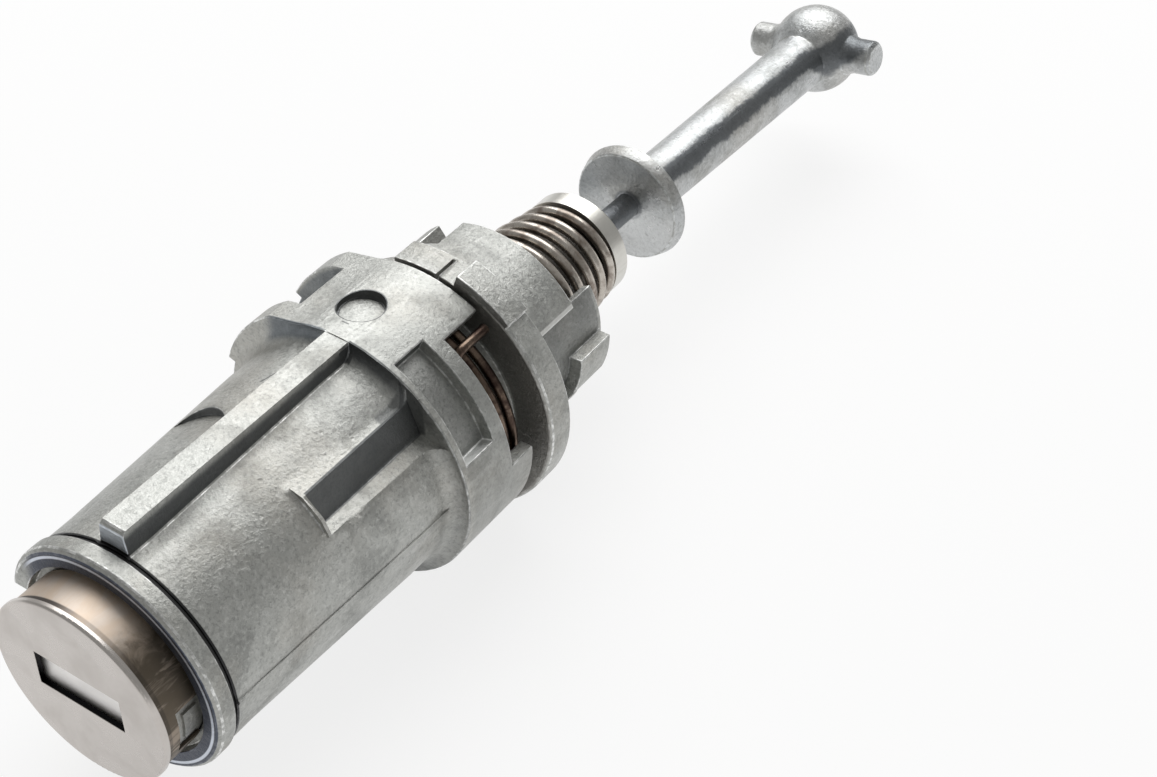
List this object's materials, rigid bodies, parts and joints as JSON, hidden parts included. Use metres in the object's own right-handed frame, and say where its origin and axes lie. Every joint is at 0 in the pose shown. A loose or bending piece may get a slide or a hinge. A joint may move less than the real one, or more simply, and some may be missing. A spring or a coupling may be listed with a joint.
{
  "type": "car door lock cylinder",
  "caption": "Car door lock cylinder with capped and shuttered key slot, die-cast housing with rib and flange, spring-returned driver and loose tail rod with cross-pinned ball.",
  "frame": {"origin": "on the lock's axis, in the middle of the front collar", "axes": "+Y along the axis from the key face to the tail, +Z towards the long rib and the flat pad, +X to the right seen from the key side"},
  "size_m": [0.0288, 0.1271, 0.0292],
  "materials": {
    "housing_zinc": "satin zinc die casting with light stains and rub marks",
    "driver_zinc": "satin zinc die casting with rough pale cut lugs",
    "tail_zinc": "satin zinc die casting, turned ends",
    "plug_zinc": "turned zinc alloy",
    "cap_steel": "polished stainless steel, lightly scratched",
    "sleeve_steel": "ground steel",
    "flap_steel": "bright pressed steel",
    "pin_steel": "drawn steel",
    "spring_wire": "spring steel wire",
    "clip_steel": "dark spring steel",
    "bronze_wire": "bronze-coloured spring wire",
    "nickel_wire": "nickel-plated spring wire",
    "end_cap_steel": "plated steel",
    "wafer_brass": "punched brass sheet",
    "seal_rubber": "black rubber"
  },
  "bodies": {
    "housing": {"housing": "housing_zinc", "seal_ring": "seal_rubber", "return_spring": "bronze_wire"},
    "plug": {"plug": "plug_zinc", "plug_cap": "cap_steel", "clutch_sleeve": "sleeve_steel", "shutter_pin": "pin_steel", "shutter_spring": "spring_wire", "retaining_clip": "clip_steel", "wafer_spring_1": "spring_wire", "wafer_spring_2": "spring_wire", "wafer_spring_3": "spring_wire", "wafer_spring_4": "spring_wire", "wafer_spring_5": "spring_wire", "wafer_spring_6": "spring_wire", "wafer_spring_7": "spring_wire", "wafer_spring_8": "spring_wire"},
    "flap": {"shutter": "flap_steel"},
    "driver": {"driver": "driver_zinc", "rear_spring": "nickel_wire", "end_cap": "end_cap_steel"},
    "cross_pin": {"drive_pin": "pin_steel"},
    "tail": {"tail": "tail_zinc"},
    "wafer_1": {"wafer_1": "wafer_brass"},
    "wafer_2": {"wafer_2": "wafer_brass"},
    "wafer_3": {"wafer_3": "wafer_brass"},
    "wafer_4": {"wafer_4": "wafer_brass"},
    "wafer_5": {"wafer_5": "wafer_brass"},
    "wafer_6": {"wafer_6": "wafer_brass"},
    "wafer_7": {"wafer_7": "wafer_brass"},
    "wafer_8": {"wafer_8": "wafer_brass"}
  },
  "joints": [
    {"name": "plug_turn", "type": "hinge", "parent": "housing", "child": "plug", "pos_m": [0, 0, 0], "axis": [0, 1, 0], "range_deg": [-70, 70], "stiffness_Nm_per_rad": 0.03},
    {"name": "driver_turn", "type": "hinge", "parent": "housing", "child": "driver", "pos_m": [0, 0.036, 0], "axis": [0, 1, 0], "range_deg": [-70, 70], "stiffness_Nm_per_rad": 0.03},
    {"name": "flap_swing", "type": "hinge", "parent": "plug", "child": "flap", "pos_m": [0, -0.0038, 0.0031], "axis": [1, 0, 0], "range_deg": [0, 82], "stiffness_Nm_per_rad": 0.0004, "springref_deg": -20.05},
    {"name": "pin_roll", "type": "hinge", "parent": "driver", "child": "cross_pin", "pos_m": [0, 0.0599, 0], "axis": [0.9848, 0, 0.1736], "range_deg": [-2.7, 7.3]},
    {"name": "tail_rock", "type": "hinge", "parent": "cross_pin", "child": "tail", "pos_m": [0, 0.0599, 0], "axis": [-0.1735, 0.0401, 0.984], "range_deg": [-4, 4]},
    {"name": "wafer_slide_1", "type": "slide", "parent": "plug", "child": "wafer_1", "axis": [1, 0, 0], "range_m": [-0.0006, 0], "stiffness_N_per_m": 150, "springref_m": 0.001},
    {"name": "wafer_slide_2", "type": "slide", "parent": "plug", "child": "wafer_2", "axis": [-1, 0, 0], "range_m": [-0.0006, 0], "stiffness_N_per_m": 150, "springref_m": 0.001},
    {"name": "wafer_slide_3", "type": "slide", "parent": "plug", "child": "wafer_3", "axis": [1, 0, 0], "range_m": [-0.0006, 0], "stiffness_N_per_m": 150, "springref_m": 0.001},
    {"name": "wafer_slide_4", "type": "slide", "parent": "plug", "child": "wafer_4", "axis": [-1, 0, 0], "range_m": [-0.0006, 0], "stiffness_N_per_m": 150, "springref_m": 0.001},
    {"name": "wafer_slide_5", "type": "slide", "parent": "plug", "child": "wafer_5", "axis": [1, 0, 0], "range_m": [-0.0006, 0], "stiffness_N_per_m": 150, "springref_m": 0.001},
    {"name": "wafer_slide_6", "type": "slide", "parent": "plug", "child": "wafer_6", "axis": [-1, 0, 0], "range_m": [-0.0006, 0], "stiffness_N_per_m": 150, "springref_m": 0.001},
    {"name": "wafer_slide_7", "type": "slide", "parent": "plug", "child": "wafer_7", "axis": [1, 0, 0], "range_m": [-0.0006, 0], "stiffness_N_per_m": 150, "springref_m": 0.001},
    {"name": "wafer_slide_8", "type": "slide", "parent": "plug", "child": "wafer_8", "axis": [-1, 0, 0], "range_m": [-0.0006, 0], "stiffness_N_per_m": 150, "springref_m": 0.001}
  ],
  "couplings": [
    {"joint": "driver_turn", "follows": "plug_turn", "ratio": 1},
    {"joint": "wafer_slide_2", "follows": "wafer_slide_1", "ratio": 1},
    {"joint": "wafer_slide_3", "follows": "wafer_slide_1", "ratio": 1},
    {"joint": "wafer_slide_4", "follows": "wafer_slide_1", "ratio": 1},
    {"joint": "wafer_slide_5", "follows": "wafer_slide_1", "ratio": 1},
    {"joint": "wafer_slide_6", "follows": "wafer_slide_1", "ratio": 1},
    {"joint": "wafer_slide_7", "follows": "wafer_slide_1", "ratio": 1},
    {"joint": "wafer_slide_8", "follows": "wafer_slide_1", "ratio": 1}
  ]
}
